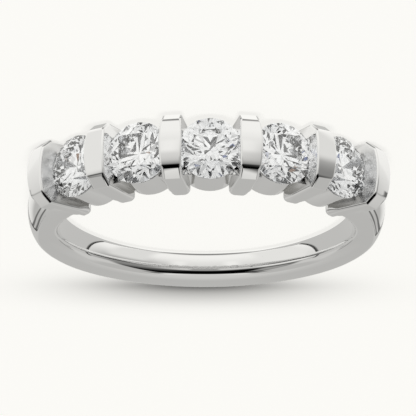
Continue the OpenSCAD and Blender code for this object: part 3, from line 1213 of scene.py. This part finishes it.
@dataclass(frozen=True)
class Studio:
    """A plain pale table top, soft light all round and the camera."""

    floor_mm: float = 900.0
    daylight: tuple[float, float, float] = (1.0, 0.992, 0.96)
    # Share of the even light and of the key in what the table's own glow leaves over
    fill: float = 0.13
    key: float = 0.875
    key_height: float = 38.0
    key_soft: float = 16.0
    # Height over the horizon and brightness, on the head's side and behind
    front: Table = (
        (-90, 0.22), (-80, 0.22), (-74, 0.32), (-67, 0.60), (-61, 0.93), (-55, 0.97), (-40, 0.96),
        (-30, 0.91), (-20, 0.84), (-10, 0.78), (0, 0.72), (5, 0.67), (9, 0.60), (13, 0.41), (17, 0.16),
        (24, 0.02), (30, 0.0), (68, 0.0), (72, 0.15), (75, 0.80), (79, 0.73), (84, 0.66), (90, 0.63),
    )  # fmt: skip
    behind: Table = (
        (-90, 0.22), (-76, 0.40), (-69, 0.95), (-60, 1.04), (-46, 1.0), (-30, 0.95), (-15, 0.90),
        (-5, 0.75), (3, 0.50), (20, 0.50), (40, 0.54), (60, 0.61), (75, 0.64), (90, 0.63),
    )  # fmt: skip
    # Where the one gives way to the other, round from the head's side, and half the width of the change
    front_ends: float = 112.0
    front_soft: float = 2.0
    panels: tuple[Panel, ...] = (
        Panel("strip_light", 21, -14, 1, 5, 9, 0.93),
        Panel("low_card", 0, 11, 8, 3, 6, 0.33),
        Panel("left_light", 65, -22, 16, 26, 12, 0.84, False),
        Panel("left_lift", 62, 42, 8, 10, 12, 0.33, False),
        Panel("grey_card", -64, 10, 8, 0, 44, 0.25, False),
        Panel("right_dim", -64, -40, 12, 22, 12, 0.78, False),
        Panel("side_light", 106, 35, 20, 12, 14, 0.62),
        Panel("side_top", 112, 57, 30, 7, 9, 0.50),
        Panel("seam", 109.5, 4, 0.8, 6, 2, 0.15),
    )
    # Two slanted dark rails on each side, behind: angle round and height of their two ends
    rails: tuple[Table, ...] = (((133, 26), (164, -9)), ((130.5, 17), (162.5, -10.5)))
    rail_half: float = 1.3
    rail_bright: float = 0.16
    # Across it, a rail fades out between these shares of its half width
    rail_edge: tuple[float, float] = (0.5, 1.5)
    # Past its ends a rail fades out between these steps of cosine, outside and inside
    rail_fade: tuple[float, float] = (-0.03, 0.01)
    # Two upright glowing cards beside the table, which only the wall of the finger hole can mirror: a
    # painted reflection of the ring's own shade on the table
    card_at: float = 14.0
    cards_from: tuple[float, float] = (9.66, 7.34)
    card_to: float = 300.0
    card_height: tuple[float, float] = (-60.0, 9.0)
    # Depth over which their dark front edge gives way to grey, and the brightness of both
    card_edge: tuple[float, float] = (0.6, 1.4)
    card_bright: tuple[float, float] = (0.06, 0.56)
    # What the stones gather: brightness by height, then round cards by direction, reach, softness and colour
    stone_room: Table = ((-90, 0.72), (-30, 0.88), (0, 1.04), (40, 1.08), (90, 1.04))
    stone_cards: tuple[tuple[str, tuple[float, float, float], float, float, str], ...] = (
        ("grey_back", (0.0, 0.9, 0.3), 40, 25, "#BDBDBA"),
        ("grey_left", (1.0, -0.1, 0.1), 20, 12, "#A9A9A6"),
        ("grey_right", (-1.0, -0.3, -0.3), 20, 12, "#8C8C8A"),
        ("viewer", (0.0, -0.941, 0.339), 15, 3, "#1C1C1E"),
        ("flag", (0.3, -0.5, 0.8), 9, 3, "#201E1C"),
        ("low_flag", (-0.35, -0.8, -0.45), 9, 3, "#363634"),
        ("blue_window", (-0.45, -0.75, 0.45), 3.5, 2.0, "#39508A"),
        ("warm_wall", (0.55, -0.8, 0.1), 3.5, 2.0, "#8A6A52"),
        ("high_flag", (-0.25, -0.2, 0.95), 9, 3, "#3A3632"),
        ("side_flag", (0.8, -0.6, 0.1), 8, 3, "#3A3836"),
    )

    def rest_on(self, ring: Object) -> tuple[float, float]:
        """Finds the flat surface that the ring settles on when it lies on its side.

        Args:
            ring: the band.

        Returns:
            Height of that surface at the finger axis, in millimetres, and its rise for each one of +Y.
        """
        outline = read(ring.data.vertices, "co", 3)[:, 1:] / MM
        hull: list[np.ndarray] = []
        for point in outline[np.lexsort((outline[:, 1], outline[:, 0]))]:
            while len(hull) > 1:
                a, b = hull[-1] - hull[-2], point - hull[-2]
                if a[0] * b[1] - a[1] * b[0] > 0:
                    break
                hull.pop()
            hull.append(point)
        for a, b in zip(hull, hull[1:]):
            if a[0] <= 0 <= b[0]:
                rise = (b[1] - a[1]) / (b[0] - a[0])
                return float(a[1] - a[0] * rise), float(rise)
        raise ValueError("the ring has no underside")

    def lay_floor(self, ring: Object) -> None:
        """Lays the table top under the ring, where mirrors see the soft surroundings instead of it.

        Args:
            ring: the band, which rests on its head and on the foot of its shank.
        """
        height, rise = self.rest_on(ring)
        lean = degrees(atan(rise))
        log.info("the ring rests on a surface at %.3f mm that rises %.2f degrees", height, lean)
        half = self.floor_mm / 2
        mesh = bpy.data.meshes.new("table_top")
        corners = ((-half, -half), (half, -half), (half, half), (-half, half))
        points = [(x * MM, y * MM, (height + rise * y) * MM) for x, y in corners]
        mesh.from_pydata(points, [], [(0, 1, 2, 3)])
        top = working_object("table_top", mesh)
        top.data.materials.append(TableTop().make())
        top.visible_glossy = top.visible_transmission = False

    def stand_cards(self) -> None:
        """Stands the two grey cards beside the table, with a dark front edge each, which paint the ring's
        shade on the table into the mirror of the finger hole's wall.
        """
        points = [
            (side * self.card_at * MM, y * MM, z * MM)
            for side, near in zip((-1, 1), self.cards_from)
            for y in (near, self.card_to)
            for z in self.card_height
        ]
        mesh = bpy.data.meshes.new("side_cards")
        mesh.from_pydata(points, [], [(0, 1, 3, 2), (4, 5, 7, 6)])
        cards = working_object("side_cards", mesh)
        cards.data.materials.append(self.shade_card_paint())
        for rays in ("camera", "diffuse", "transmission", "shadow"):
            setattr(cards, f"visible_{rays}", False)

    def shade_card_paint(self) -> Material:
        """Builds the cards' even grey glow with the dark edge, a painted reflection of the ring's shade on
        the table.

        Returns:
            The finished material.
        """
        paint, _ = new_material("mirrored_shade_card")
        paint.node_tree.nodes.clear()
        node = partial(add_node, paint.node_tree)
        axes = node("SeparateXYZ", [node("TexCoord", out="Object")], None)
        near, far = (y * MM for y in self.cards_from)
        front = node("MapRange", [axes["X"], -self.card_at * MM, self.card_at * MM, near, far])
        depth = node("Math SUBTRACT", [axes["Y"], front])
        edge = [side * MM for side in self.card_edge]
        # Painted reflection of shade: near black at the front edge, grey behind
        bright = node("MapRange", [depth, *edge, *self.card_bright], **SOFT)
        glow = node("Emission", {"Color": (*self.daylight, 1), "Strength": bright})
        node("OutputMaterial", {"Surface": glow}, None)
        return paint

    def ramp(self, tree: NodeTree, share: NodeSocket, rows: Table) -> NodeSocket:
        """Reads a brightness by height from rows.

        Args:
            tree: the world's tree.
            share: height as a share, 0 straight down and 1 straight up.
            rows: height in degrees and brightness.

        Returns:
            The brightness.
        """
        value = add_node(tree, "FloatCurve", {"Value": share})
        mapping = value.node.mapping
        points = mapping.curves[0].points
        places = [((height + 90) / 180, bright) for height, bright in rows]
        points[0].location, points[len(points) - 1].location = places[0], places[-1]
        for place in places[1:-1]:
            points.new(*place)
        for point in points:
            point.handle_type = "VECTOR"
        mapping.update()
        return value

    def light(self) -> None:
        """Lights the ring all round: soft for matt surfaces, in bright and dark panels for shiny ones."""
        world = bpy.data.worlds.new("soft_studio")
        bpy.context.scene.world = world
        world.use_nodes = True
        tree = world.node_tree
        tree.nodes.clear()
        node = partial(add_node, tree)
        way = node("TexCoord", out="Generated")
        axes = node("SeparateXYZ", [way], None)
        height = node("Math DEGREES", [node("Math ARCSINE", [axes["Z"]])])
        head_way = node("Math MULTIPLY", [axes["Y"], -1.0])
        around = node("Math DEGREES", [node("Math ARCTAN2", [axes["X"], head_way])])
        either = node("Math ABSOLUTE", [around])
        share = node("Math MULTIPLY_ADD", [height, 1 / 180, 0.5])
        change = (self.front_ends - self.front_soft, self.front_ends + self.front_soft)
        back = node("MapRange", [either, *change, 0.0, 1.0], **SOFT)
        front, behind = (self.ramp(tree, share, rows) for rows in (self.front, self.behind))
        bright = node("Mix", {0: back, 2: front, 3: behind})
        for panel in self.panels:
            covers = []
            spans = (
                (either if panel.both_sides else around, panel.round_at, panel.half_round),
                (height, panel.height, panel.half_height),
            )
            for value, middle, half in spans:
                off = node("Math ABSOLUTE", [node("Math SUBTRACT", [value, middle])])
                covers.append(node("MapRange", [off, half, half + panel.soft, 1.0, 0.0], **SOFT))
            cover = node("Math MULTIPLY", covers)
            bright = node("Mix", {0: cover, 2: bright, 3: panel.bright}, label=panel.name)
        folded = node("CombineXYZ", [node("Math ABSOLUTE", [axes["X"]]), axes["Y"], axes["Z"]])
        edge = [sin(radians(self.rail_half)) * share_of for share_of in self.rail_edge]
        for rail in self.rails:
            ways = [(*unit(round_at), *unit(high)) for round_at, high in rail]
            ends = [Vector((s * flat, -c * flat, up)) for c, s, flat, up in ways]
            middle = (ends[0] + ends[1]).normalized()
            across = ends[0].cross(ends[1]).normalized()
            off, along = (node("VectorMath DOT_PRODUCT", [folded, way], "Value") for way in (across, middle))
            beside = node("MapRange", [node("Math ABSOLUTE", [off]), *edge, 1.0, 0.0], **SOFT)
            fade = [ends[0].dot(middle) + step for step in self.rail_fade]
            within = node("MapRange", [along, *fade, 0.0, 1.0], **SOFT)
            cover = node("Math MULTIPLY", [beside, within])
            bright = node("Mix", {0: cover, 2: bright, 3: self.rail_bright})
        daylight = (*self.daylight, 1)
        surroundings, stone_light, seen, even = (
            node("Background", {"Color": colour, "Strength": strength})
            for colour, strength in (
                (daylight, bright),
                (self.stone_sky(tree, way, share), 1.0),
                (linear(TABLE_LIGHT), 1.0),
                (daylight, self.fill * (1 - TableTop().glow)),
            )
        )
        path = node("LightPath", out=None)
        left_stone = node("Math GREATER_THAN", [path["Transmission Depth"], 0.5])
        shown = node("MixShader", [left_stone, surroundings, stone_light])
        shown = node("MixShader", [path["Is Diffuse Ray"], shown, even])
        node("OutputWorld", {"Surface": node("MixShader", [path["Is Camera Ray"], shown, seen])}, None)

    def stone_sky(self, tree: NodeTree, way: NodeSocket, share: NodeSocket) -> NodeSocket:
        """Colour that the stones gather from a direction: a bright room with a few cards in it.

        Args:
            tree: the world's tree.
            way: the direction.
            share: height as a share, 0 straight down and 1 straight up.

        Returns:
            The colour.
        """
        node = partial(add_node, tree)
        level = self.ramp(tree, share, self.stone_room)
        room = node("Mix", {0: 1.0, 6: (*self.daylight, 1), 7: level}, 2, blend_type="MULTIPLY", **COLOURS)
        for name, towards, reach, soft, colour in self.stone_cards:
            near = node("VectorMath DOT_PRODUCT", [way, Vector(towards).normalized()], "Value")
            edge = [cos(radians(reach + soft)), cos(radians(reach))]
            cover = node("MapRange", [near, *edge], **SOFT)
            room = node("Mix", {0: cover, 6: room, 7: linear(colour)}, 2, label=name, **COLOURS)
        return room

    def hang_key(self) -> None:
        """Hangs a large soft light over the head's side, which only the matt table top takes."""
        table = TableTop()
        lamp = bpy.data.lights.new("soft_key", "SUN")
        lamp.angle = radians(self.key_soft)
        share = self.key * (1 - table.glow)
        paper = linear(table.colour)[0]
        lamp.energy = share * linear(TABLE_LIGHT)[0] * pi / paper / sin(radians(self.key_height))
        lamp.color = self.daylight
        holder = working_object("soft_key", lamp)
        holder.rotation_euler = (radians(90 - self.key_height), 0, 0)
        holder.visible_glossy = holder.visible_transmission = False

    def set_up(self, ring: Object) -> None:
        """Puts floor, light, camera and the light's bounces in place.

        Args:
            ring: the band that lies on the floor.
        """
        self.lay_floor(ring)
        self.stand_cards()
        self.light()
        self.hang_key()
        ViewPoint().set_up()
        scene = bpy.context.scene
        scene.view_settings.view_transform = "Standard"
        scene.cycles.max_bounces = 32
        scene.cycles.transmission_bounces = 28
        scene.cycles.glossy_bounces = 12
        scene.cycles.caustics_reflective = False
        scene.cycles.caustics_refractive = False


def report(piece: Object, stands_for: str) -> None:
    """Logs a finished piece.

    Args:
        piece: the piece.
        stands_for: the CAD node that it stands for.
    """
    piece.data.calc_loop_triangles()
    work = bmesh.new()
    work.from_mesh(piece.data)
    size = len(piece.data.loop_triangles), work.calc_volume(signed=True) / MM**3
    work.free()
    log.info("%s stands for %s: %d triangles, %.2f mm3", piece.name, stands_for, *size)


def main() -> None:
    """Builds the ring, dresses it and sets up the studio."""
    logging.basicConfig(level=logging.INFO, format="%(name)s: %(message)s")
    plan = Setting()
    set_out = set_out_tree()
    band = Band(plan).build(set_out)
    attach(band, "root")
    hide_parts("band")
    report(band, "band")
    gem = Diamond().make()
    tree = stone_tree(set_out)
    for number in range(1, plan.stones + 1):
        stone = Brilliant(plan, number).build(tree, gem)
        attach(stone, "root")
        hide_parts(f"stone_{number}")
        report(stone, f"stone_{number}")
    Studio().set_up(band)


if __name__ == "__main__":
    main()
